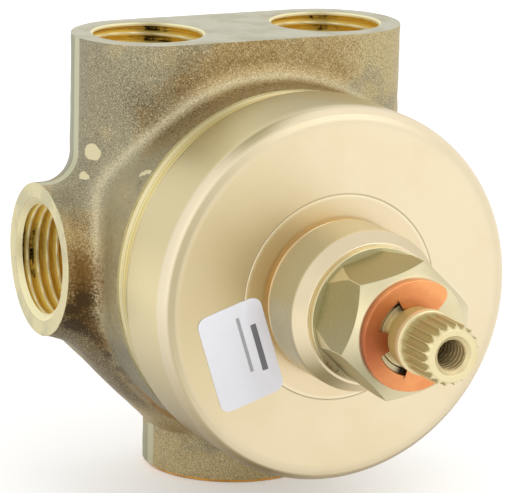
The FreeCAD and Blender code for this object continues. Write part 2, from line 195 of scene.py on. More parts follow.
# The same outline with extra points, so that no stretch is longer than the step, and the length along it
def refined(outline, step, closed=True, extra=()):
    least = 0.004
    ring = np.concatenate([outline, outline[:1]]) if closed else outline
    along = np.concatenate([[0], np.cumsum(np.linalg.norm(np.diff(ring, axis=0), axis=1))])
    marks = np.unique(np.round(np.concatenate([along, np.arange(0, along[-1], step), *extra]), 4))
    marks = marks[np.concatenate([[True], np.diff(marks) > least])]
    if closed:
        marks = marks[marks < along[-1] - least]
    points = np.stack([np.interp(marks, along, ring[:, k]) for k in (0, 1)], -1)
    return points, marks


# Even angles round a full turn
def evenClock(columns):
    return np.linspace(0, fullTurn, columns, endpoint=False)[None]


# Points round the spindle axis; clock angles grow from the top towards the left
def spun(radius, depth, clock):
    return np.stack([-radius * np.sin(clock), -depth + 0 * clock, radius * np.cos(clock)], -1)


def srgb(red, green, blue):
    share = np.array([red, green, blue]) / 255
    return (*np.where(share <= 0.04045, share / 12.92, ((share + 0.055) / 1.055) ** 2.4), 1)


# A material, and the nodes that its colour, roughness and bump are made of
class Finish:
    def __init__(self, name, metallic, roughness, color, specular=0.5):
        self.material = bpy.data.materials.new(name)
        self.material.use_nodes = True
        self.tree = self.material.node_tree
        self.shader = self.tree.nodes["Principled BSDF"]
        self.shader.inputs["Metallic"].default_value = metallic
        self.shader.inputs["Roughness"].default_value = roughness
        self.shader.inputs["Base Color"].default_value = color
        self.shader.inputs["Specular IOR Level"].default_value = specular

    def add(self, kind, settings=None, **inputs):
        node = self.tree.nodes.new(kind)
        for key, value in (settings or {}).items():
            setattr(node, key, value)
        for key, value in inputs.items():
            key = int(key[1:]) if key[1:].isdigit() else key.replace("_", " ")
            self.put(node.inputs[key], value)
        return node

    def put(self, socket, value):
        if isinstance(value, bpy.types.NodeSocket):
            self.tree.links.new(value, socket)
        else:
            socket.default_value = value

    # Noise of a given grain size in millimetres, stretched where asked
    def noise(self, size, detail=3, rough=0.55, stretch=None):
        vector = self.add("ShaderNodeTexCoord").outputs["Object"]
        if stretch:
            vector = self.add("ShaderNodeMapping", Vector=vector, Scale=stretch).outputs[0]
        node = self.add("ShaderNodeTexNoise", Vector=vector, Scale=1 / (size * mm),
                        Detail=detail, Roughness=rough)
        return node.outputs["Fac"]

    # Irregular lines of a given width by the length along a turned outline
    def lines(self, size):
        node = self.add("ShaderNodeTexNoise", {"noise_dimensions": "1D"}, W=self.attribute("along"),
                        Scale=1 / size, Detail=3, Roughness=0.6)
        return node.outputs["Fac"]

    def attribute(self, name):
        return self.add("ShaderNodeAttribute", {"attribute_name": name}).outputs["Fac"]

    # Share from 0 to 1 as a number goes from low to high
    def between(self, number, low, high):
        node = self.add("ShaderNodeMapRange", {"interpolation_type": "SMOOTHSTEP"},
                        Value=number, From_Min=low, From_Max=high)
        return node.outputs[0]

    def math(self, operation, a, b=0.0):
        return self.add("ShaderNodeMath", {"operation": operation}, i0=a, i1=b).outputs[0]

    def plus(self, a, b):
        return self.math("ADD", a, b)

    def minus(self, a, b):
        return self.math("SUBTRACT", a, b)

    def times(self, a, b):
        return self.math("MULTIPLY", a, b)

    # A second colour laid over the first by the product of the shares
    def lay(self, first, second, share, *others):
        for other in others:
            share = self.times(share, other)
        node = self.add("ShaderNodeMix", {"data_type": "RGBA"}, Factor=share, i6=first, i7=second)
        return node.outputs[2]

    def bump(self, height, distance, strength=1.0, under=None):
        node = self.add("ShaderNodeBump", Height=height, Distance=distance * mm, Strength=strength)
        if under is not None:
            self.put(node.inputs["Normal"], under)
        return node.outputs["Normal"]

    # Roughness grows with the number from the least one
    def finish(self, color, number, span, least, normal, metallic=None):
        roughness = self.plus(self.times(number, span), least)
        looks = {"Base Color": color, "Roughness": roughness, "Normal": normal, "Metallic": metallic}
        for key, value in looks.items():
            if value is not None:
                self.put(self.shader.inputs[key], value)
        return self.material


# Colours of the cast skin; the under and low-flank colours are painted shade, and the light colour, besides the
# grain, paints a highlight on the boss's fillet
castLooks = {key: srgb(*rgb) for key, rgb in {
    "base": (190, 172, 127), "grey": (155, 147, 121), "brown": (162, 134, 82), "light": (244, 232, 192),
    "shade": (78, 60, 32), "flank": (172, 160, 122), "stripe": (204, 200, 168), "pale": (228, 217, 176),
    "rust": (116, 82, 30), "dark": (46, 33, 14), "under": (88, 73, 44), "side": (166, 167, 142),
    "scratch": (98, 82, 50), "gold": (160, 116, 38), "dim": (92, 90, 74),
}.items()}


# Sand-cast skin: broad grey and brown clouds, fine grain, ground stripe, chips and stains, with painted shade
# under the web and on the low side of the boss flank, and a painted highlight on the fillet at the boss's base
def castFinish():
    f = Finish("cast_brass_skin", 0.5, 0.5, castLooks["base"], 0.2)
    flank = f.attribute("flank")
    grain, worn = f.noise(0.21, 2, 0.7), f.noise(0.8, 4, 0.75)
    coarse = f.minus(1.0, f.times(flank, 0.7))
    cool = f.plus(f.noise(8, 3), f.times(f.minus(f.attribute("cool"), 0.4), 0.3))
    warm = f.plus(f.attribute("warm"), f.times(f.minus(f.noise(3.4, 4, 0.6), 0.5), 1.4))
    edge = f.times(f.minus(f.noise(0.45, 4, 0.75), 0.5), 2.6)

    # Stain that keeps to its marks and has a ragged edge
    def ragged(key):
        amount = f.attribute(key)
        return f.between(f.plus(amount, f.times(edge, f.between(amount, 0.0, 0.3))), 0.1, 1.0)

    layers = [
        ("grey", f.between(cool, 0.38, 0.64)), ("brown", f.between(warm, 0.15, 0.95), 0.8),
        # Painted shade under the web and on the low side of the boss flank
        ("flank", flank, 0.8), ("under", f.attribute("under"), 0.85), ("dim", f.attribute("dim")),
        # Painted highlight on the fillet at the boss's base, then paler and darker grain
        ("light", f.attribute("rootHighlight"), 0.5), ("light", f.between(grain, 0.5, 0.72), coarse, 0.6),
        ("shade", f.between(grain, 0.5, 0.28), coarse, 0.7),
        ("scratch", f.between(worn, 0.56, 0.72), flank, 0.55), ("stripe", f.between(worn, 0.42, 0.3), flank, 0.5),
        ("side", f.attribute("side"), 0.8), ("stripe", f.between(f.attribute("stripe"), 0.3, 0.7)),
        ("gold", ragged("gold"), 0.85), ("rust", ragged("rust"), 0.85), ("dark", ragged("dark"), 0.78),
        ("pale", f.between(f.attribute("pale"), 0.42, 0.58)),
    ]
    color = castLooks["base"]
    for key, *shares in layers:
        color = f.lay(color, castLooks[key], *shares)
    normal = f.bump(f.noise(2.2, 3), 0.10)
    normal = f.bump(f.noise(0.42, 3, 0.6), 0.07, coarse, normal)
    return f.finish(color, grain, 0.24, 0.36, normal)


# Cut face: soft clouds and fine scratches
def machinedFinish(name, color, deep):
    f = Finish(name, 1.0, 0.4, color)
    scratch = f.noise(0.35, 3, 0.6, (1, 6, 1))
    tint = f.lay(color, deep, f.between(f.noise(5, 3, 0.6), 0.42, 0.66))
    tint = f.lay(tint, deep, f.between(scratch, 0.6, 0.8), 0.3)
    return f.finish(tint, scratch, 0.14, 0.33, f.bump(scratch, 0.01))


# Thread: painted shade in the groove and painted highlight on the crest, painted shade where the wall-shade number
# is high, and dark spots of dirt that gather more there
def threadFinish(name, groove, flank, crest, dirtAndShade):
    f = Finish(name, 0.35, 0.42, flank, 0.2)
    height, wallShade = f.attribute("crest"), f.attribute("wallShade")
    tint = f.lay(groove, flank, f.between(height, 0.0, 0.55))
    tint = f.lay(tint, crest, f.between(height, 0.72, 0.98))
    tint = f.lay(tint, srgb(120, 92, 40), wallShade, 0.5)
    spots = f.plus(f.noise(1.6, 4, 0.6), f.times(wallShade, 0.3))
    tint = f.lay(tint, dirtAndShade, f.between(spots, 0.64, 0.78), f.between(height, 0.7, 0.2))
    return f.finish(tint, f.noise(0.5, 3), 0.16, 0.34, f.bump(f.noise(0.4, 3), 0.008))


# Turned brass: fine lines along the outline, then colours laid on by the piece's own numbers, some as specks
def turnedFinish(name, color, deep, rough, lineSize, lineDepth, layers, metallic=1.0, dull=False):
    f = Finish(name, metallic, rough, color)
    line = f.lines(lineSize)
    tint = f.lay(color, deep, f.between(f.noise(12, 3), 0.38, 0.66), 0.5)
    tint = f.lay(tint, deep, f.between(line, 0.5, 0.75), 0.22)
    tint = f.lay(tint, deep, f.between(f.noise(0.55, 2), 0.7, 0.78), 0.4)
    for key, rgb, share, *specks in layers:
        broken = [f.between(f.noise(0.5, 3, 0.65), 0.58, 0.68)] if specks else []
        tint = f.lay(tint, srgb(*rgb), f.attribute(key), *broken, share)
    shine = f.minus(metallic, f.times(f.attribute("dull"), 0.75)) if dull else None
    return f.finish(tint, line, 0.12, rough - 0.06, f.bump(line, lineDepth), shine)


def plainFinish(name, metallic, rough, color, deep, size=1.2, depth=0.01):
    f = Finish(name, metallic, rough, color)
    patch = f.noise(size, 4, 0.6)
    tint = f.lay(color, deep, f.between(patch, 0.42, 0.68))
    return f.finish(tint, patch, 0.2, rough - 0.1, f.bump(f.noise(size * 0.3, 3), depth))


# Flat spring bronze: smooth copper colour, redder in broad clouds, with painted shade darker and redder round the
# middle lug, and black in the slot ends where dirt and painted shade lie
def clipFinish():
    f = Finish("clip_bronze", 1.0, 0.36, srgb(236, 156, 106))
    tint = f.lay(srgb(246, 172, 112), srgb(234, 152, 98), f.between(f.noise(6, 3), 0.36, 0.64))
    tint = f.lay(tint, srgb(168, 88, 52), f.between(f.noise(0.5, 2), 0.68, 0.78), 0.3)
    tint = f.lay(tint, srgb(170, 92, 60), f.attribute("red"), 0.85)
    tint = f.lay(tint, srgb(30, 20, 12), f.attribute("dark"))
    return f.finish(tint, f.noise(0.8, 3), 0.14, 0.3, f.bump(f.noise(0.6, 3), 0.006))


# Bars on the paper: middle and half width across the sheet, middle and half length along it, colour
labelBars = [(3.4, 0.5, 0.0, 4.1, srgb(112, 112, 117)), (1.15, 0.3, 1.3, 4.8, srgb(168, 168, 173))]


# Paper with two plain grey bars, placed by the sheet's own lengths in millimetres
def labelFinish():
    f = Finish("label_paper", 0.0, 0.6, srgb(234, 234, 240))
    soft = 0.05
    tint = f.lay(srgb(236, 236, 242), srgb(233, 233, 239), f.between(f.noise(5, 2), 0.35, 0.7))
    for middleAcross, halfAcross, middleAlong, halfAlong, color in labelBars:
        inside = []
        for key, middle, half in (("across", middleAcross, halfAcross), ("length", middleAlong, halfAlong)):
            away = f.math("ABSOLUTE", f.minus(f.attribute(key), middle))
            inside.append(f.between(away, half + soft, half - soft))
        tint = f.lay(tint, color, *inside)
    return f.finish(tint, f.noise(0.3, 2), 0.1, 0.55, f.bump(f.noise(0.25, 3), 0.006))


castSkin = castFinish()
faceBrass = machinedFinish("faced_brass", srgb(206, 203, 178), srgb(192, 186, 156))
boreBrass = plainFinish("bored_brass", 0.35, 0.45, srgb(226, 178, 92), srgb(176, 122, 54), 3.0)
ringBrass = machinedFinish("port_ring_brass", srgb(222, 211, 166), srgb(202, 195, 156))
chamferBrass = plainFinish("chamfer_brass", 0.6, 0.42, srgb(240, 184, 76), srgb(216, 156, 56), 3.0)
threadBrass = threadFinish("thread_brass", srgb(230, 192, 76), srgb(250, 224, 116),
                           srgb(252, 243, 194), srgb(36, 23, 8))
screwBrass = threadFinish("screw_thread_brass", srgb(84, 62, 32), srgb(164, 138, 86),
                          srgb(228, 210, 162), srgb(40, 28, 14))
# Rim band: yellow front strip and dark lines, with painted dark reflection on the low side and painted shade near
# the top
bandBrass = turnedFinish("band_brass", srgb(252, 238, 188), srgb(246, 228, 168), 0.42, 0.2, 0.006, [
    ("yellow", (255, 238, 152), 0.6), ("dark", (206, 182, 108), 0.8), ("lowShade", (112, 102, 60), 0.88)], 0.3)
# Bonnet layers: the shadow, left-face and groove tones are painted shade, the low-side and edge tones painted dark
# reflection, glow and pale painted highlights, warm a painted reflection, and the last tone dirt with painted
# shade
capBrass = turnedFinish("satin_bonnet_brass", srgb(238, 222, 188), srgb(232, 214, 176), 0.34, 0.14, 0.004, [
    ("wall", (232, 217, 166), 0.8), ("leftFaceShade", (202, 184, 136), 0.62), ("glow", (242, 228, 196), 0.9),
    ("shadow", (156, 143, 92), 0.62), ("edge", (180, 166, 126), 0.9), ("lowShade", (116, 92, 34), 0.92),
    ("neck", (194, 182, 142), 0.8), ("groove", (140, 130, 92), 0.7), ("pad", (206, 172, 104), 0.55),
    ("warm", (198, 156, 88), 0.4), ("dark", (120, 104, 58), 0.7), ("pale", (250, 240, 208), 0.7),
    ("dirtAndShade", (134, 119, 74), 0.85)], dull=True)
# Gland layers: painted shade that differs on each flat, on the flange's front face round the hexagon, on the
# conical face and in the gaps at the clip's slot ends, and dirt with painted shade near the foot
glandBrass = turnedFinish("gland_brass", srgb(228, 217, 178), srgb(214, 200, 158), 0.42, 0.15, 0.006, [
    ("flat", (168, 161, 124), 0.92), ("flat", (200, 194, 158), 0.5, "specks"), ("upper", (146, 132, 86), 0.75),
    ("ledgeShade", (184, 178, 140), 0.8), ("coneShade", (158, 151, 122), 0.75), ("dirtAndShade", (116, 90, 46), 0.92),
    ("dirtAndShade", (52, 38, 20), 0.8, "specks"), ("gapShade", (26, 18, 10), 0.92)])
# Stem layers: flutes, journal, and painted shade at the collar's back corner
stemBrass = turnedFinish("stem_brass", srgb(234, 220, 174), srgb(220, 200, 146), 0.42, 0.2, 0.006, [
    ("flute", (172, 154, 94), 0.9), ("journal", (180, 152, 82), 0.9), ("dark", (112, 98, 58), 0.8)], 0.75, True)
clipBronze = clipFinish()
labelPaper = labelFinish()
blackRubber = plainFinish("seal_rubber", 0.0, 0.55, srgb(26, 26, 27), srgb(36, 35, 34), 0.5)
whiteCeramic = plainFinish("disc_ceramic", 0.0, 0.2, srgb(236, 233, 226), srgb(226, 222, 214), 2.0, 0.003)
whiteAcetal = plainFinish("carrier_acetal", 0.0, 0.42, srgb(222, 220, 212), srgb(208, 205, 196), 1.5)
pinSteel = plainFinish("pin_steel", 1.0, 0.3, srgb(186, 186, 184), srgb(160, 160, 158), 0.8)
washerBronze = plainFinish("washer_bronze", 1.0, 0.36, srgb(190, 130, 80), srgb(160, 104, 60), 1.0)
print("finishes ready")


bodyLow, bodyHigh = (local(corner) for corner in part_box("valve_body"))
castShape = {
    "reach": bodyHigh[0], "top": bodyHigh[2], "foot": -bodyLow[2], "bossFront": 20.7,
    "outletOffset": mounts["outlet_top_right"]["pos_m"][0] / mm,
    "blockR": 12.9, "inletR": 13.0, "footR": 15.0, "bossR": 30.6,
    "inletFillet": 5.0, "webFillet": 2.6, "footFillet": 0.35, "bossFillet": 3.6,
    "webEnd": 34.0, "webStep": -1.5, "webFootX": 14.75, "webFootZ": 30.7, "webHalf": 12.0, "webRound": 9.0,
    "domeDrop": 16.0, "footChamfer": 0.6, "ground": 0.045, "ripple": 0.04,
    "chamberR": 26.5, "chamberFloor": 14.0, "step": 0.62, "spare": 3.0,
}
# Marks on the skin: place and radius in millimetres, and strength
castMarks = {
    "pale": [
        (-28.4, -5.0, 19.1, 1.6, 1.4), (-29.0, -4.1, 18.7, 1.4, 1.3), (-28.0, -5.7, 18.6, 1.1, 1.3),
        (-29.9, -3.9, 14.9, 1.0, 1.3), (-29.2, -4.9, 14.5, 0.8, 1.2), (-24.9, -18.4, 18.0, 0.8, 1.3),
        (-25.2, -17.4, 17.5, 0.7, 1.2), (-24.7, -19.6, 18.3, 0.7, 1.2)],
    "rust": [
        (-33.6, -12.8, 2.0, 4.5, 0.8), (-33.2, -13.2, -2.5, 4.5, 0.9), (-33.6, -11.8, -6.8, 4.0, 0.9),
        (-31.0, -11.2, -10.4, 3.2, 0.9), (-28.8, -11.2, -13.3, 3.0, 0.7), (-25.5, -12.0, -18.0, 2.0, 0.6)],
    "gold": [
        (-25.2, -12.4, -19.2, 1.5, 0.9), (-23.3, -12.5, -20.7, 1.6, 1.0), (-21.3, -12.6, -22.2, 1.8, 1.0),
        (-19.4, -12.6, -23.8, 2.6, 1.4), (-17.9, -12.6, -25.0, 3.0, 1.5), (-16.4, -12.8, -26.2, 2.8, 1.3)],
    "dark": [
        (-34.4, -10.2, -9.4, 1.8, 1.0), (-35.2, -11.7, -6.0, 1.4, 0.9), (-33.0, -13.0, -4.2, 1.8, 0.7),
        (-32.3, -10.4, -10.9, 1.9, 0.8), (-30.4, -11.0, -12.4, 2.2, 0.9), (-28.3, -11.0, -15.2, 2.0, 1.0),
        (-26.3, -11.2, -17.6, 1.7, 1.0), (-24.4, -11.3, -19.8, 1.3, 0.9), (-22.6, -11.2, -21.9, 1.0, 0.6),
        (-19.6, -11.4, -24.2, 1.0, 0.9), (-18.4, -12.2, -25.2, 0.9, 0.9), (-25.9, -18.9, 16.2, 0.8, 0.7),
        (-33.6, -12.6, -1.8, 4.6, 0.42), (-33.2, -11.8, -5.6, 4.6, 0.5), (-32.4, -10.2, -9.2, 4.2, 0.5),
        (-33.4, -11.0, 9.2, 3.4, 0.4), (-24.1, -10.4, 30.3, 6.0, 0.2), (-21.7, -11.8, 26.3, 5.0, 0.22),
        (-18.9, -12.9, 23.4, 4.0, 0.22), (-15.5, -12.9, 33.4, 5.0, 0.16)],
    "warm": [
        (-33.0, -12.6, 0.0, 7.0, 1.0), (-33.0, -11.0, 7.5, 5.5, 0.6), (-18.0, -13.0, 24.5, 8.0, 0.9),
        (-10.0, -13.0, 31.0, 9.0, 1.0), (0.0, -13.0, 34.0, 10.0, 1.0), (-23.0, -12.0, -21.0, 4.0, 0.6),
        (-13.0, -8.0, -32.0, 6.0, 0.4), (12.0, -13.0, 33.0, 8.0, 0.8)],
    # Painted shade on the upper left of the block
    "under": [
        (-20.5, -12.9, 25.6, 6.0, 0.45), (-15.5, -13.0, 28.2, 5.0, 0.35), (-25.0, -11.0, 29.5, 6.0, 0.2),
        (-16.0, -13.0, 34.5, 5.0, 0.16)],
}
waveCount = 18
random = np.random.default_rng(7)
waveWays = random.normal(size=(waveCount, 3))
waveWays *= (fullTurn / random.uniform(2.6, 8.0, waveCount) / np.linalg.norm(waveWays, axis=1))[:, None]
wavePhases = random.uniform(0, fullTurn, waveCount)


# Sum of plane waves in many directions, about -1 to 1
def unevenness(x, y, z):
    return sum(np.sin(w[0] * x + w[1] * y + w[2] * z + p) for w, p in zip(waveWays, wavePhases)) / 5


# Distance to a bar from its distances to the side wall and to the ends
def barField(side, end):
    return np.hypot(np.maximum(side, 0), np.maximum(end, 0)) + np.minimum(np.maximum(side, end), 0)


# Union of two fields with an arc of the given radius in the corner between them
def filletUnion(a, b, radius):
    return np.maximum(radius, np.minimum(a, b)) - np.hypot(np.maximum(radius - a, 0), np.maximum(radius - b, 0))


# Rough casting: oval block, inlet pipe, slanting webs, domed foot and round boss, joined with fillets
def roughCasting(x, y, z, bossFillet=castShape["bossFillet"]):
    c = SimpleNamespace(**castShape)
    side = np.abs(x)
    blockWall = np.hypot(np.maximum(side - c.outletOffset, 0), y)
    block = barField(blockWall - c.blockR, np.maximum(z - c.top - c.spare, -z))
    pipeWall = np.hypot(y, z)
    inlet = barField(pipeWall - c.inletR, side - c.reach - c.spare)
    facing = np.clip(y * y / np.maximum(blockWall * pipeWall, 0.001), 0, 1)
    head = filletUnion(block, inlet, c.inletFillet * np.sqrt(1 - facing ** 2))
    run, drop = c.webEnd - c.webFootX, c.webFootZ - c.inletR - c.webStep
    slant = ((side - c.webFootX) * drop - (z + c.webFootZ) * run) / math.hypot(run, drop) + c.webRound
    flank = np.abs(y) - c.webHalf + c.webRound
    edge = barField(slant, flank) - c.webRound
    web = barField(edge, np.maximum(np.maximum(side - c.webEnd, z), -c.webFootZ - z))
    ring = np.hypot(x, y)
    wall = barField(ring - c.footR, np.maximum(-c.foot - c.spare - z, z + c.domeDrop))
    foot = np.minimum(wall, np.hypot(ring, z + c.domeDrop) - c.footR)
    boss = barField(np.hypot(x, z) - c.bossR, np.maximum(y, -c.bossFront - c.spare - y))
    body = filletUnion(head, web, c.webFillet)
    body = filletUnion(body, foot, c.footFillet)
    return filletUnion(body, boss, bossFillet)


# Round hole from a mouth inwards along one axis
def holeField(x, y, z, mouth, inward, radius, length):
    px, py, pz = x - mouth[0], y - mouth[1], z - mouth[2]
    along = px * inward[0] + py * inward[1] + pz * inward[2]
    across = np.sqrt(np.maximum(px * px + py * py + pz * pz - along * along, 0))
    return np.maximum(across - radius, np.maximum(-along - castShape["spare"], along - length))


# Mouth, inward direction, radius and length of a mount's hole
def mountHole(name):
    mount = mounts[name]
    dims = mount["dims"]
    return local(mount["pos_m"]), -np.array(mount["axis"], float), dims["r_mm"], dims["length_mm"]


# Radius of the gallery behind each port's thread, and its length from the mouth
galleries = {"inlet_left": (8, 18), "inlet_right": (8, 18), "outlet_top_left": (8, 24.1),
             "outlet_top_right": (8, 24.1), "outlet_bottom": (9, 30.7)}
ports = {name: mountHole(name) for name in galleries}
bores = [*ports.values(), *((*ports[name][:2], *size) for name, size in galleries.items())]


# Finished casting: parting line ground flat, faces cut, ports, chamber and seats bored out
def castingField(x, y, z):
    c = SimpleNamespace(**castShape)
    body = roughCasting(x, y, z) + c.ripple * unevenness(x, y, z)
    cuts = [roughCasting(x, 0 * y, z) + c.ground, z - c.top, np.abs(x) - c.reach, -c.foot - z,
            (np.hypot(x, y) - c.foot - z - c.footR + c.footChamfer) / math.sqrt(2), -c.bossFront - y,
            -np.maximum(np.hypot(x, z) - c.chamberR, y + c.chamberFloor)]
    for cut in cuts + [-holeField(x, y, z, *bore) for bore in bores]:
        body = np.maximum(body, cut)
    return body


# Zero surface of a field on a cubic grid: one vertex for each crossed cell, where the tangent planes at its
# crossed edges meet best, and one quad round each crossed edge
def fieldSurface(field, low, high, step):
    searches, probe, settle, slack = 3, 0.01, 0.04, 0.1
    low = np.array(low, float)
    counts = np.ceil((np.array(high) - low) / step).astype(int) + 1
    axes = [low[k] + step * np.arange(counts[k]) for k in range(3)]
    values = field(*np.meshgrid(*axes, indexing="ij", sparse=True))
    spots, normals, cells = [], [], []
    for k in range(3):
        first, second = [slice(None)] * 3, [slice(None)] * 3
        first[k], second[k] = slice(0, -1), slice(1, None)
        a, b = values[tuple(first)], values[tuple(second)]
        crossed = (a < 0) != (b < 0)
        index = np.argwhere(crossed)
        start, va, vb = low + step * index, a[crossed], b[crossed]
        share = va / (va - vb)
        lowEnd, highEnd = np.zeros_like(share), np.ones_like(share)
        for search in range(searches):
            spot = start.copy()
            spot[:, k] += step * share
            v = field(*spot.T)
            same = (v < 0) == (va < 0)
            lowEnd, va = np.where(same, share, lowEnd), np.where(same, v, va)
            highEnd, vb = np.where(same, highEnd, share), np.where(same, vb, v)
            part = np.clip(va / np.where(va == vb, 1, va - vb), 0.05, 0.95)
            share = lowEnd + (highEnd - lowEnd) * part
        spot = start.copy()
        spot[:, k] += step * share
        ways = probe * np.eye(3)
        slope = np.stack([field(*(spot + way).T) - field(*(spot - way).T) for way in ways], -1)
        slope /= np.maximum(np.linalg.norm(slope, axis=1, keepdims=True), 1e-9)
        m, n = (k + 1) % 3, (k + 2) % 3
        around = np.repeat(index[:, None], 4, 1)
        around[:, (0, 3), m] -= 1
        around[:, (0, 1), n] -= 1
        quad = np.ravel_multi_index(np.moveaxis(around, 2, 0), counts)
        quad[b[crossed] < 0] = quad[b[crossed] < 0][:, ::-1]
        spots.append(spot)
        normals.append(slope)
        cells.append(quad)
    spot, normal, quads = np.concatenate(spots), np.concatenate(normals), np.concatenate(cells)
    used, inverse = np.unique(quads, return_inverse=True)
    inverse = inverse.reshape(-1, 4)
    owner, total = inverse.ravel(), len(used)

    def gathered(numbers):
        return np.bincount(owner, np.repeat(numbers, 4), total)

    count = gathered(np.ones(len(spot)))
    middle = np.stack([gathered(spot[:, k]) for k in range(3)], -1) / count[:, None]
    pairs = [gathered(normal[:, i] * normal[:, j]) for i in range(3) for j in range(3)]
    square = np.stack(pairs, -1).reshape(-1, 3, 3)
    level = (normal * spot).sum(1)
    right = np.stack([gathered(normal[:, k] * level) for k in range(3)], -1)
    right -= np.einsum("nij,nj->ni", square, middle)
    move = np.linalg.solve(square + settle * np.eye(3), right[..., None])[..., 0]
    corner = low + step * np.stack(np.unravel_index(used, counts), -1)
    return np.clip(middle + move, corner - slack * step, corner + (1 + slack) * step), inverse


def castBody():
    c = SimpleNamespace(**castShape)
    lowSpare, highSpare, probe, cutGap, boreGap = 1.37, 1.31, 0.05, 0.04, 0.05
    low, high = bodyLow - lowSpare, bodyHigh + highSpare
    low[1] = -c.bossFront - lowSpare
    points, quads = fieldSurface(castingField, low, high, c.step)
    x, y, z = points.T
    ground = roughCasting(x, y, z) - roughCasting(x, 0 * y, z) - c.ground
    reach, clock = np.hypot(x, z), np.arctan2(-x, z)
    slope = (roughCasting(x, y, z + probe) - roughCasting(x, y, z - probe)) / (2 * probe)
    lean = (roughCasting(x + probe, y, z) - roughCasting(x - probe, y, z)) / (2 * probe)
    onFlank = ramp(1 - np.abs(reach - c.bossR - 0.1) / 0.5) * (y < -6)
    lowSide = ramp(clock - 0.55, 0.5)
    aboveInlet, belowWeb = (z - 8) / 5, (-c.webFootZ - z) / 2
    values = {
        "stripe": ramp(0.5 - ground / 0.06) * (np.abs(y) < 2.2) * ((z > -10) | (z < -c.webFootZ)),
        "side": ramp(np.abs(lean) - 0.6, 0.2) * ramp(y, 0.8) * ramp(np.maximum(aboveInlet, belowWeb)),
        # Painted highlight on the fillet at the boss's base
        "rootHighlight": ramp(roughCasting(x, y, z, 0.0), 0.9) ** 2 * ramp(z + 12, 8)
        * ramp(0.75 - 0.25 * x / c.bossR + 0.2 * z / c.bossR),
        # Painted shade on the web's faces that look down
        "under": ramp(-slope - 0.2, 0.3) * ramp(-5 - z, 2) * ramp(z + 28, 4) * ramp(4 - y, 8)
        * ramp(reach - c.bossR - 0.2, 0.8),
        "flank": onFlank * lowSide,
        # Painted shade on the low side of the boss flank
        "dim": 0.8 * onFlank * ramp(clock - 1.7, 0.3),
        "cool": ramp(-x - 8, 14) * ramp(z - 6, 10),
    }
    for key, marks in castMarks.items():
        for *spot, radius, strength in marks:
            far = np.linalg.norm(points - spot, axis=1)
            values[key] = values.get(key, 0) + strength * ramp(1.15 - far / radius)
    values["warm"] += onFlank * (1 - lowSide) + 0.45 * ramp(14 - z, 10) * (z > -c.webFootZ)
    values["dark"] += 0.4 * onFlank * (1 - lowSide)
    mx, my, mz = points[quads].mean(1).T
    atEnd = np.abs(mx) > c.reach - cutGap
    cut = atEnd | (mz > c.top - cutGap) | (mz < -c.foot + cutGap) | (my < -c.bossFront + cutGap)
    beveled = (mz < -c.foot + c.footChamfer + 0.1) & ~cut
    bored = (my < -c.chamberFloor + cutGap) & (np.hypot(mx, mz) < c.chamberR + boreGap)
    for bore in bores:
        bored |= holeField(mx, my, mz, *bore) < boreGap
    skins = [castSkin, faceBrass, boreBrass, chamferBrass, ringBrass]
    onSkin, onFace, onBore, onBevel, onRing = range(len(skins))
    faceMaterial = np.where(bored, onBore, np.where(cut, np.where(atEnd, onRing, onFace),
                                                    np.where(beveled, onBevel, onSkin)))
    makePiece("cast_body", (points, [quads]), "housing", skins, ["valve_body"],
              faceMaterial, 42, values)


castBody()


rimShape = {"back": 20.7, "front": 24.3, "outer": 30.3, "inner": 26.5, "lineDepth": 0.09,
            "linesBehindFront": (0.28, 0.75, 1.15, 1.9), "columns": 224}
bonnetShape = {
    "register": 26.0, "outer": 31.4, "front": 41.0, "edgeRound": 2.8, "padR": 17.0, "padHeight": 0.15,
    "neckR": 13.3, "neckFront": 53.0, "chamferLength": 2.3, "chamferWidth": 1.6, "reliefDepth": 0.5,
    "reliefWidth": 1.0, "neckBore": 9.0, "bore": 19.5, "innerFace": 36.0, "spigot": 26.45, "spigotBack": 18.5,
    "columns": 256, "linePitch": 0.43, "lineDepth": 0.03,
}
# Middle and spread, as clock angles, of the tones on the bonnet
bonnetTones = {
    "left": (1.45, 0.9), "low": (2.5, 0.42), "edge": (1.35, 0.75), "glow": (1.55, 0.95), "warm": (1.4, 0.9),
    "pad": (1.2, 0.7), "shadow": (0.15, 0.45), "corner": (0.5, 0.2),
}


# Ring of an outline that is drawn finer near each fine mark and cut by even lines between two depths of
# one wall; shades gives numbers from radius, depth and clock angle
def turnedPiece(name, corners, material, nodes, columns, fine, shades, cutLines=None):
    step, denseStep, finePoints, pointsPerLine = 0.8, 0.05, np.linspace(-0.45, 0.45, 9), 6
    plain = roundedOutline(corners)
    dense, denseAlong = refined(plain, denseStep)
    nearest = [np.argmin(np.linalg.norm(dense - spot, axis=1)) for spot in fine]
    extra = [denseAlong[k] + finePoints for k in nearest]
    if cutLines:
        wall, first, last, pitch, height = cutLines

        def onWall(spots):
            return (np.abs(spots[:, 0] - wall) < 0.01) & (spots[:, 1] > first) & (spots[:, 1] < last)

        span = denseAlong[onWall(dense)]
        extra.append(np.arange(span.min(), span.max(), pitch / pointsPerLine))
    outline, along = refined(plain, step, True, extra)
    if cutLines:
        swing = 0.5 - 0.5 * np.cos(fullTurn * (outline[:, 1] - first) / pitch)
        outline[:, 0] -= onWall(outline) * height * swing
    radius, depth, clock = outline[:, :1], outline[:, 1:], evenClock(columns)
    values = {"along": along[:, None], **shades(radius, depth, clock)}
    values = {key: numbers + 0 * (radius + clock) for key, numbers in values.items()}
    makePiece(name, closedGrid(spun(radius, depth, clock)), "housing", [material], nodes, values=values)


# Bell of the given width round one place of the outline
def bell(radius, depth, spot, width):
    return np.exp(-((radius - spot[0]) ** 2 + (depth - spot[1]) ** 2) / width ** 2)


# Share of the painted dark reflection on the low side: it grows from the left down to the bottom and fades out on
# the right
def lowShadeShare(clock, width):
    return ramp(clock - 1.5, width) * (1 - 0.4 * ramp(clock - 2.75, 0.3)) * ramp(4.3 - clock, 0.6)


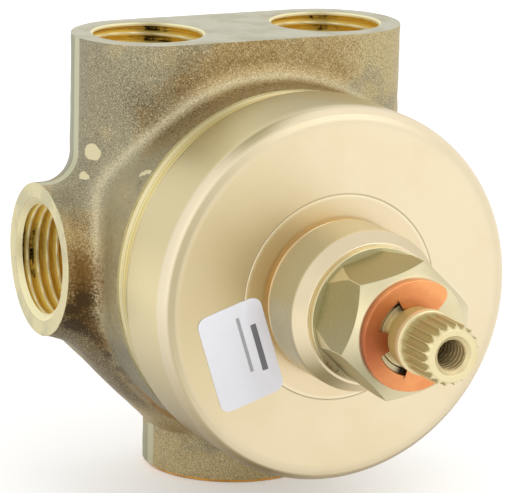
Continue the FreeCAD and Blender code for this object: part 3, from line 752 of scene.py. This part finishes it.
# Plain ring with one shallow groove near its front edge and dark lines behind it
def rimBand():
    r = SimpleNamespace(**rimShape)
    low = r.outer - r.lineDepth
    corners = [
        (r.inner, r.back, 0.1), (r.outer, r.back, 0.05), (r.outer, r.front - 0.45, 0.05),
        (low, r.front - 0.35, 0.05), (low, r.front - 0.2, 0.05), (r.outer, r.front - 0.1, 0.04),
        (r.outer, r.front, 0.04), (r.inner, r.front, 0.1)]
    spots = [(r.outer, r.front - gap) for gap in r.linesBehindFront]

    def shades(radius, depth, clock):
        return {"dark": sum(bell(radius, depth, spot, 0.14) for spot in spots),
                "yellow": depth > r.front - r.linesBehindFront[-1],
                # Painted dark reflection on the low side, and painted shade near the top
                "lowShade": lowShadeShare(clock, 0.9) + 0.45 * hump(clock, 0.5, 0.3)}

    turnedPiece("rim_band", corners, bandBrass, (), r.columns, spots, shades)


# Spigot, register, rounded cap, low pad, relief, lined neck and chamfer, turned round the axis
def bonnet():
    b, rim = SimpleNamespace(**bonnetShape), SimpleNamespace(**rimShape)
    padFront = b.front + b.padHeight
    relief, reliefFront = b.neckR - b.reliefDepth, padFront + b.reliefWidth
    neckEnd = b.neckFront - b.chamferLength
    corners = [
        (b.bore, b.spigotBack, 0.2), (b.spigot, b.spigotBack, 0.3), (b.spigot, rim.front, 0.05),
        (rim.outer, rim.front, 0.06), (rim.outer, b.register, 0.05), (b.outer - 0.05, b.register, 0.25),
        (b.outer, b.front, b.edgeRound), (b.padR + 0.1, b.front, 0.04), (b.padR, padFront, 0.05),
        (relief, padFront, 0.15), (relief, reliefFront, 0.2), (b.neckR, reliefFront + 0.15, 0.12),
        (b.neckR, neckEnd, 0.35), (b.neckR - b.chamferWidth, b.neckFront, 0.2), (b.neckBore, b.neckFront, 0.15),
        (b.neckBore, b.innerFace, 0.2), (b.bore, b.innerFace, 0.4),
    ]
    lines = (b.neckR, reliefFront + 0.4, neckEnd - 0.3, b.linePitch, b.lineDepth)
    edgeSpot = (b.outer - 1.42, b.front - 0.35)
    padEdge, padTop = (b.padR + 0.16, b.front), (b.padR - 0.1, padFront)
    base, bandEdge = (relief, padFront + 0.4), (rim.outer, rim.front + 0.5)

    def shades(radius, depth, clock):
        far = b.outer - radius
        turned = (clock + math.pi) % fullTurn - math.pi
        tone = SimpleNamespace(**{key: hump(turned if key in ("shadow", "corner") else clock, *place)
                                  for key, place in bonnetTones.items()})
        onNeck = (np.abs(radius - b.neckR) < 0.1) & (depth > reliefFront) & (depth < neckEnd)
        onPad = (radius < b.padR) & (radius > relief) & (np.abs(depth - padFront) < 0.02)
        onFace = (radius > b.padR + 0.3) & (depth > b.front - 0.05) & (radius < b.outer - b.edgeRound + 0.1)
        onRound = (depth > b.front - b.edgeRound) & (radius > b.outer - b.edgeRound - 1)
        onEnd = (depth > neckEnd - 1.5) & (radius > b.neckR - b.chamferWidth - 0.1)
        onCap = depth > b.register
        neck = onNeck * (0.55 + 0.45 * tone.left)
        return {
            "wall": (far < 0.05) & onCap,
            "shadow": (far < 0.2) * onCap * tone.shadow * ramp(b.front + 1.5 - depth, 6)
            + 1.2 * onRound * ramp(1.1 - far, 0.4) * tone.corner,
            # Painted dark reflection on the cap's low side
            "lowShade": onCap * ramp(1.5 - far, 0.5) * lowShadeShare(clock, 1.15),
            # Painted highlight on the outer part of the rounded edge
            "glow": onRound * ramp(far, 0.08) * ramp(1.25 - far, 0.3) * tone.glow,
            # Painted shade, darker towards the face's left
            "leftFaceShade": onFace * tone.left,
            # Painted dark reflection in a band on the inner part of the rounded edge
            "edge": onRound * ramp(far - 0.95, 0.3) * ramp(2.6 - far, 0.5) * (0.15 + 0.8 * tone.edge),
            # Painted shade in the neck's turning grooves
            "groove": onNeck * ramp(b.neckR - radius, b.lineDepth),
            "neck": neck,
            "dull": np.maximum(neck, onRound * ramp(far - 0.02, 0.1) * ramp(2.9 - far, 0.3)),
            "pad": onPad * (0.25 + 0.75 * tone.pad),
            # Painted reflection in the relief groove at the neck's base
            "warm": bell(radius, depth, base, 0.35) * (0.35 + 0.65 * tone.warm),
            # Painted shade at the foot of the pad's step; the second bell is a dark joint at the band's front edge
            "dark": 0.8 * bell(radius, depth, padEdge, 0.12) + 0.5 * bell(radius, depth, bandEdge, 0.14),
            # Painted highlight on the top edge of the pad's step
            "pale": bell(radius, depth, padTop, 0.14),
            # Dirt and painted shade on the low side of the neck's end
            "dirtAndShade": onEnd * tone.low,
        }

    turnedPiece("bonnet_turned", corners, capBrass, ["bonnet"], b.columns,
                [edgeSpot, padEdge, bandEdge, base], shades, lines)


rimBand()
bonnet()


# Gland nut shape, with the strength of painted shade on each flat and the places of its other painted shade and of
# dirt with painted shade
glandShape = {
    "back": 40.0, "shank": 8.95, "seat": 53.0, "flange": 11.2, "flangeFront": 53.8, "across": 20.0,
    "cornerClock": 45.0, "cornerBack": 10.6, "cornerFront": 11.54, "taper": 6.4, "face": 9.3, "front": 66.3,
    "bore": 5.45, "perFlat": 56, "flatRows": 34, "flatPart": 0.84, "flatTones": (0.1, 0.6, 1.0, 0.4, 0.4, 1.0),
    "grimeClocks": (31, 163), "grimeR": 6.7,
    "coneTone": (math.radians(128), 0.5), "dirtTone": (math.radians(134), 0.36),
}


# Each column runs from the shank's back over flange, flat and cone to the bore; on the hexagon the radius is
# that of the flat or of the turned corner, whichever is less, and the columns crowd to where the two meet
def glandNut():
    g = SimpleNamespace(**glandShape)
    sixth, flatR = math.radians(30), g.across / 2
    coneBack = g.front - (g.cornerFront - g.face)
    part = np.linspace(-1, 1, g.perFlat, endpoint=False)
    steps = np.append(np.linspace(0, 0.965, g.flatRows), (0.98, 0.99, 1))
    rise = np.minimum(steps * (coneBack - g.flangeFront) / g.taper, 1)
    turnR = g.cornerBack + (g.cornerFront - g.cornerBack) * rise
    edgeAngle = np.arccos(flatR / turnR)[:, None]
    share = np.abs(part)
    pastFlat = (share - g.flatPart) / (1 - g.flatPart) * (sixth - edgeAngle)
    angle = np.sign(part) * np.where(share < g.flatPart, share / g.flatPart * edgeAngle, edgeAngle + pastFlat)
    radius = np.minimum(flatR / np.cos(angle), turnR[:, None])
    flatTop = g.front - (radius[-1] - g.face)
    flatBack = g.flangeFront + 0.02
    depth = flatBack + steps[:, None] * (flatTop - flatBack)
    before = roundedOutline([
        (g.bore, g.back, 0.2), (g.shank, g.back, 0.4), (g.shank, g.seat, 0.1), (g.flange, g.seat, 0.12),
        (g.flange, g.flangeFront, 0.15), (g.cornerBack - 1.2, g.flangeFront, 0.05)], 5, False)[5:]
    after = roundedOutline([
        (g.cornerFront, coneBack, 0.05), (g.face, g.front, 0.12), (g.bore + 0.12, g.front, 0.04),
        (g.bore, g.front - 0.2, 0.06), (g.bore, g.back, 0.05)], 5, False)[5:]
    after = np.insert(after, 5, [(g.grimeR, g.front), (g.grimeR - 0.5, g.front)], 0)
    coneShare = np.array([0.05, 0.12, 0.25, 0.4, 0.6, 0.8])[:, None]
    coneR = radius[-1:] + coneShare * (g.face + 0.1 - radius[-1:])
    coneD = flatTop + coneShare * (g.front - 0.1 - flatTop)
    width, start, end = len(part), len(before), len(before) + len(steps)
    beforeR, beforeD, afterR, afterD = (np.repeat(outline[:, k, None], width, 1)
                                        for outline in (before, after) for k in (0, 1))
    allR = np.tile(np.concatenate([beforeR, radius, coneR, afterR]), (1, 6))
    allD = np.tile(np.concatenate([beforeD, depth, coneD, afterD]), (1, 6))
    plainAngle = np.linspace(-sixth, sixth, width, endpoint=False)[None]
    lastAngle = angle[-1:]
    fade = np.linspace(0, 1, len(after))[:, None]
    allA = np.concatenate([np.repeat(angle[:1], start, 0), angle, np.repeat(lastAngle, len(coneR), 0),
                           lastAngle + fade * (plainAngle - lastAngle)])
    flats = math.radians(g.cornerClock) + sixth + np.arange(6) * 2 * sixth
    clock = (allA[:, None, :] + flats[None, :, None]).reshape(len(allA), -1)
    along = np.cumsum(np.hypot(np.diff(allR, axis=0), np.diff(allD, axis=0)).mean(1))
    onFlat = np.zeros(allR.shape)
    onFlat[start:end] = np.tile(share < g.flatPart + 0.005, 6)[None]
    onFlat[end - 1] *= 0.5
    onCone = (allD > flatTop.min() + 0.1) * (allR > g.face - 0.05) * (1 - onFlat)
    nearFoot = ramp(g.flangeFront + 3.0 - allD, 2.5) * (allR > g.shank + 0.5)
    atBore = ramp(g.grimeR - allR, 0.5) * (allD > g.front - 0.4)
    values = {
        "along": np.repeat(np.append(0, along), width * 6),
        "flat": onFlat,
        # Painted shade, of a different strength on each flat
        "upper": onFlat * np.repeat(g.flatTones, width),
        # Painted shade on the flange's front face round the hexagon
        "ledgeShade": (np.abs(allD - g.flangeFront) < 0.05) & (allR < g.flange - 0.1),
        # Painted shade in the gaps at the clip's slot ends
        "gapShade": atBore * sum(hump(clock % fullTurn, math.radians(a), 0.13) for a in g.grimeClocks),
        # Painted shade on the low side of the conical face
        "coneShade": onCone * hump(clock, *g.coneTone),
        # Dirt and painted shade near the foot, on its low side
        "dirtAndShade": nearFoot * hump(clock, *g.dirtTone),
    }
    makePiece("gland_hexagon", closedGrid(spun(allR, allD, clock)), "housing", [glandBrass],
              ["gland_nut"], sharp=60, values=values)


glandNut()


stemShape = {
    "back": 30.0, "shaft": 5.4, "flange": 7.5, "flangeBack": 36.5, "flangeFront": 38.5, "grooveBack": 66.35,
    "grooveFront": 67.55, "groove": 4.5, "journal": 4.9, "collar": 5.3, "collarBack": 70.5, "collarFront": 72.0,
    "spline": 5.0, "splineDepth": 0.6, "teeth": 20, "fluteR": 0.74, "front": 80.2, "chamfer": 0.9, "hole": 3.0,
    "mouth": 3.2, "holeDepth": 12.0, "perTooth": 18, "tongue": (9.2, 5.0), "tongueBack": 24.6, "poleR": 0.05,
}


# Turned outline; between collar and end the radius is cut down by round flutes spaced evenly round the axis
def stem():
    s = SimpleNamespace(**stemShape)
    holeEnd = s.front - s.holeDepth
    corners = [
        (s.poleR, s.back, 0.02), (s.shaft, s.back, 0.3), (s.shaft, s.flangeBack, 0.1),
        (s.flange, s.flangeBack, 0.15), (s.flange, s.flangeFront, 0.15), (s.shaft, s.flangeFront, 0.1),
        (s.shaft, s.grooveBack, 0.08),
        (s.groove, s.grooveBack, 0.06), (s.groove, s.grooveFront, 0.06), (s.journal, s.grooveFront, 0.08),
        (s.journal, s.collarBack, 0.15), (s.collar, s.collarBack, 0.4), (s.collar, s.collarFront, 0.35),
        (s.spline, s.collarFront + 0.02, 0.04), (s.spline, s.front - s.chamfer, 0.1),
        (s.spline - s.chamfer, s.front, 0.12), (s.mouth, s.front, 0.06),
        (s.hole, s.front - s.mouth + s.hole, 0.06), (s.hole, holeEnd, 0.2),
        (s.poleR, holeEnd - 0.9, 0.02),
    ]
    outline, along = refined(roundedOutline(corners, 5, False), 0.5, False)
    radius, depth, clock = outline[:, :1], outline[:, 1:], evenClock(s.teeth * s.perTooth)
    pitch = fullTurn / s.teeth
    off = (clock + pitch / 2) % pitch - pitch / 2
    middleR = s.spline - s.splineDepth + s.fluteR
    inFlute = np.maximum(s.fluteR ** 2 - (middleR * np.sin(off)) ** 2, 0)
    fluteR = np.where(inFlute > 0, middleR * np.cos(off) - np.sqrt(inFlute), 2 * s.spline)
    outside = (depth > s.collarFront) & (radius > s.mouth + 0.1)
    runOut = ramp(depth - s.collarFront - 0.15, 0.5)
    cutR = np.where(outside, radius - runOut * (radius - np.minimum(radius, fluteR)), radius)
    rim = roundedBox(s.tongue[0] / 2, s.tongue[1] / 2, 0.3, 5)
    ends = np.array([[s.tongueBack], [s.back + 0.3]])
    tongue = np.stack(np.broadcast_arrays(rim[None, :, 0], -ends, rim[None, :, 1]), -1)
    surface = joined(closedGrid(spun(cutR, depth, clock), True), closedGrid(tongue, True))
    onJournal = (radius < s.journal + 0.1) & (depth > s.grooveFront) & (depth < s.collarBack + 0.1)
    # Painted shade at the back corner of the collar
    dark = bell(radius, depth, (s.collar - 0.12, s.collarBack + 0.1), 0.26)
    values = {"along": along[:, None], "journal": onJournal, "dark": dark,
              "dull": np.maximum(onJournal, ramp(2 * dark)), "flute": ramp(radius - cutR, 0.12)}
    values = {key: numbers + 0 * cutR for key, numbers in values.items()}
    makePiece("splined_stem", surface, "spindle", [stemBrass], ["stem"],
              sharp=32, values=values)


clipShape = {
    "inner": 4.53, "relief": 6.4, "outer": 9.0, "back": 66.4, "front": 67.5, "lugClock": 97.0, "lugHalf": 17.0,
    "reliefHalf": 71.0, "stepWide": 1.6, "mouthHalf": 38.0, "endRound": 2.1, "innerRound": 0.25, "edge": 0.16,
    "steps": 500,
}


# Flat section carried round from one arm's end to the other, its inner edge stepping out between the three lugs
def clip():
    k = SimpleNamespace(**clipShape)
    end = 180 - k.mouthHalf
    marks = np.linspace(-end, end, k.steps)
    away = np.abs(marks)
    rise = ramp(away - k.lugHalf, k.stepWide) * ramp(k.reliefHalf - away, k.stepWide)
    rise = rise * rise * (3 - 2 * rise)
    inner = k.inner + (k.relief - k.inner) * rise
    toEnd = np.radians(end - away) * k.outer

    def tuck(corner):
        return corner - np.sqrt(np.maximum(corner ** 2 - np.maximum(corner - toEnd, 0) ** 2, 0))

    low, high = inner + tuck(k.innerRound), k.outer - tuck(k.endRound)
    halfT = (k.front - k.back) / 2
    section = [(0, -halfT, k.edge), (2, -halfT, k.edge), (2, halfT, k.edge), (0, halfT, k.edge)]
    rim = refined(roundedOutline(section, 4), 0.2)[0]  # 0 to 1 from the inner edge, 1 to 2 to the outer edge
    share = rim[:, 0]
    near = np.minimum(share, 2 - share)
    radius = np.where(share[:, None] < 1, low[None] + near[:, None], high[None] - near[:, None])
    clock = np.radians(marks + k.lugClock)[None]
    grid = spun(radius, (k.back + k.front) / 2 + rim[:, 1, None], clock).transpose(1, 0, 2)
    # Dirt and painted shade at the slot ends, and painted shade darker and redder round the middle lug
    dirtAndShade = hump(away[:, None], k.reliefHalf, 4) * (share < 1) * ramp(1.5 - near / 0.5)
    values = {"dark": dirtAndShade, "red": hump(marks[:, None], 0, 48) + 0 * dirtAndShade}
    makePiece("retaining_clip", closedGrid(grid, True), "spindle", [clipBronze], ["e_clip"],
              sharp=30, values=values)


stem()
clip()


# Pitch and height, then the bevel's width and depth and the end of the plain lead at the mouth
threadSizes = {
    "inlet": {"pitch": 1.814, "height": 1.16, "flat": 1.08, "bevel": 0.74, "lead": 0.78},
    "outlet": {"pitch": 1.814, "height": 1.16, "flat": 0.3, "bevel": 0.22, "lead": 0.5},
    "screw": {"pitch": 1.0, "height": 0.54, "flat": 0.5, "bevel": 0.5, "lead": 0.55},
}
screwLength = 9.5


# Flat mouth ring, bevel and plain lead, then a wall whose radius swings from root to crest along a helix,
# closed by a plain outer wall
def threadRing(name, hole, sizes, body, materials, columns=120, perTurn=14, wallShade=None):
    mouth, inward, rootR, length = hole
    t = SimpleNamespace(**sizes)
    crestR, skin, sink = rootR - t.height, 0.05, 0.012
    clock = evenClock(columns)
    leadS = np.array([[sink], [sink], [t.bevel / 2], [t.bevel], [t.lead]])
    leadR = np.array([[rootR - 0.04], [crestR + t.flat], [crestR + t.flat * 0.45], [crestR], [crestR]])
    s = np.linspace(t.lead * 1.04, length - 0.02, int(length / t.pitch * perTurn))[:, None]
    turn = (s / t.pitch - clock / fullTurn) % 1
    swing = ramp(np.abs(2 * turn - 1) - 0.16, 0.66)
    outerR = np.full((2, columns), rootR - 0.015)
    allR = np.concatenate([leadR + 0 * clock, rootR - skin - (t.height - skin) * swing, outerR])
    allS = np.concatenate([leadS, s, [[length - 0.02], [sink]]]) + 0 * clock
    first = np.array([0, 1, 0]) if abs(inward[1]) < 0.5 else np.array([1, 0, 0])
    around = np.cos(clock)[..., None] * first + np.sin(clock)[..., None] * np.cross(inward, first)
    grid = mouth + allS[..., None] * inward + allR[..., None] * around
    rows = np.arange(len(allS))
    atMouth = np.repeat((rows < 1) | (rows == len(rows) - 1), columns)
    crest = np.concatenate([1 + 0 * (leadR + clock), swing, 0 * outerR])
    values = {"crest": crest, "wallShade": wallShade(grid) if wallShade else 0 * crest}
    makePiece(name, closedGrid(grid), body, materials, values=values, faceMaterial=atMouth)


# Painted reflection darkens the back wall of the top outlets; it is darker too on the far wall of the left inlet
# and on its upper wall by the mouth
def portShade(points):
    x, y, z = np.moveaxis(points, -1, 0)

    def atBack(middle):
        return np.exp(-((x - middle) ** 2 + (y - 8.5) ** 2) / 2.6 ** 2) * (z > 20)

    inInlet = np.exp(-((points - (-34, 9, 0)) ** 2).sum(-1) / 4.0 ** 2)
    underLip = (x < -35.1) * ramp(z - 3, 5)
    return inInlet + 0.8 * underLip + atBack(-12.1) + 0.8 * atBack(20.0)


for portName, port in ports.items():
    sideways = abs(port[1][0]) > 0.5
    portKind, mouthBrass = ("inlet", ringBrass) if sideways else ("outlet", faceBrass)
    threadRing(portName + "_thread", port, threadSizes[portKind], "housing",
               [threadBrass, mouthBrass], wallShade=portShade)
screwHole = (*mountHole("handle_screw")[:3], screwLength)
threadRing("handle_screw_thread", screwHole, threadSizes["screw"], "spindle",
           [screwBrass, stemBrass], 64, 12)


labelShape = {"length": 16.8, "width": 11.5, "corner": 1.7, "middle": (-17.6, -8.0), "lean": 17.8,
              "thickness": 0.1, "lift": 0.12, "wave": 0.02, "gap": 0.012, "rings": 24}


# Rounded rectangle drawn in towards its middle in rings, lying on the bonnet's face and up over the pad's edge
def label():
    k, cap = SimpleNamespace(**labelShape), SimpleNamespace(**bonnetShape)
    halfW, halfL, lean = k.width / 2, k.length / 2, math.radians(k.lean)
    rim = refined(roundedBox(halfW, halfL, k.corner, 8), 0.5)[0]
    share = np.linspace(0.02, 1, k.rings)[:, None, None]
    flat = rim[None] * share
    across, length = flat[..., 0], flat[..., 1]
    x = k.middle[0] + across * math.cos(lean) - length * math.sin(lean)
    z = k.middle[1] + across * math.sin(lean) + length * math.cos(lean)
    base = cap.front + cap.padHeight * ramp(cap.padR + 0.7 - np.hypot(x, z)) + k.gap
    corner = ramp((np.abs(across) / halfW) * (np.abs(length) / halfL) - 0.6)
    wave = k.wave * np.sin(across * 1.3 + length * 0.5) * share[..., 0]
    top = base + k.thickness + k.lift * corner + np.abs(wave)
    upper, under = (np.stack([x, -depth, z], -1) for depth in (top, top - k.thickness))
    grid = np.concatenate([upper, under[::-1]])
    values = {"across": np.concatenate([across, across[::-1]]),
              "length": np.concatenate([length, length[::-1]])}
    makePiece("label_sheet", closedGrid(grid, True), "housing", [labelPaper], ["label"],
              sharp=50, values=values)


label()


innerLooks = [
    (blackRubber, ["bonnet_o_ring", "gland_o_ring", "stem_o_ring_back", "stem_o_ring_front",
                   "seat_seal_top_left", "seat_seal_top_right", "seat_seal_bottom"]),
    (whiteCeramic, ["fixed_disc", "moving_disc"]), (whiteAcetal, ["carrier"]),
    (washerBronze, ["thrust_washer"]), (pinSteel, ["stop_pin", "dowel_left", "dowel_right"]),
]
for material, nodes in innerLooks:
    for node in nodes:
        mesh = frame["nodes"][node].data
        mesh.materials.clear()
        mesh.materials.append(material)
print("inner pieces finished:", sum(len(nodes) for material, nodes in innerLooks))


studio = {"floorHalf": 12.0, "floorGap": 0.0002, "floorColor": srgb(244, 244, 244), "worldLevel": 0.86,
          "floorGlow": {"Is Camera Ray": 0.3, "Is Glossy Ray": 0.16}}
cameraSet = {"azimuth": -25.251, "elevation": 13.361, "roll": 1.19, "distance": 649.9, "focal": 3776.8,
             "middle": (232.9, 242.3), "image": (512, 493), "sensor": 36, "clip": (0.02, 20)}
# Place in metres, width, height and power in watts, all aimed at the spindle axis
lamps = {
    "key": ((0.55, -1.0, 0.85), 1.0, 1.0, 4.5),
    "side": ((-0.9, -0.8, 0.35), 0.7, 0.9, 1.6),
    "back": ((0.1, 1.0, 0.9), 1.0, 0.7, 0.4),
}


def linked(name, data):
    thing = bpy.data.objects.new(name, data)
    bpy.context.scene.collection.objects.link(thing)
    return thing


# Square floor under the part: pale and matt, with a little light of its own for the camera and for gloss
def floorPiece():
    f = Finish("studio_floor", 0.0, 1.0, studio["floorColor"])
    diffuse = f.add("ShaderNodeBsdfDiffuse", Color=studio["floorColor"])
    path = f.add("ShaderNodeLightPath")
    level = f.plus(*(f.times(path.outputs[ray], share) for ray, share in studio["floorGlow"].items()))
    glow = f.add("ShaderNodeEmission", Strength=level)
    both = f.add("ShaderNodeAddShader", i0=diffuse.outputs[0], i1=glow.outputs[0])
    f.put(f.tree.nodes["Material Output"].inputs["Surface"], both.outputs[0])
    f.tree.nodes.remove(f.shader)
    half, low = studio["floorHalf"], cadBox[0].z - studio["floorGap"]
    mesh = bpy.data.meshes.new("studio_floor")
    corners = [(-half, -half, low), (half, -half, low), (half, half, low), (-half, half, low)]
    mesh.from_pydata(corners, [], [(0, 1, 2, 3)])
    mesh.materials.append(f.material)
    linked("studio_floor", mesh)


def worldLight():
    world = bpy.data.worlds.new("studio_world")
    bpy.context.scene.world = world
    world.use_nodes = True
    background = world.node_tree.nodes["Background"]
    background.inputs["Color"].default_value = (1, 1, 1, 1)
    background.inputs["Strength"].default_value = studio["worldLevel"]


def studioLamps():
    for name, (place, width, height, power) in lamps.items():
        light = bpy.data.lights.new(name + "_lamp", "AREA")
        light.shape = "RECTANGLE"
        light.size, light.size_y, light.energy = width, height, power
        lamp = linked(name + "_lamp", light)
        lamp.location = place
        lamp.rotation_euler = Vector(axisPoint - np.array(place)).to_track_quat("-Z", "Y").to_euler()


# Looks at the spindle axis from the given angles and distance; the image's middle is moved by the shift
def photoCamera():
    k = SimpleNamespace(**cameraSet)
    a, e, roll = (math.radians(angle) for angle in (k.azimuth, k.elevation, k.roll))
    back = np.array([math.sin(a) * math.cos(e), -math.cos(a) * math.cos(e), math.sin(e)])
    right = np.array([math.cos(a), math.sin(a), 0])
    up = np.cross(back, right)
    rolledRight = math.cos(roll) * right + math.sin(roll) * up
    rolledUp = -math.sin(roll) * right + math.cos(roll) * up
    width, height = k.image
    data = bpy.data.cameras.new("photo_camera")
    data.sensor_width = k.sensor
    data.lens = k.focal * k.sensor / width
    data.shift_x = (width / 2 - k.middle[0]) / width
    data.shift_y = (k.middle[1] - height / 2) / width
    data.clip_start, data.clip_end = k.clip
    placing = np.eye(4)
    placing[:3] = np.stack([rolledRight, rolledUp, back, axisPoint + back * k.distance * mm], -1)
    camera = linked("photo_camera", data)
    camera.matrix_world = Matrix(placing.tolist())
    bpy.context.scene.camera = camera


floorPiece()
worldLight()
studioLamps()
photoCamera()
bpy.context.scene.view_settings.view_transform = "Standard"
print("studio ready")
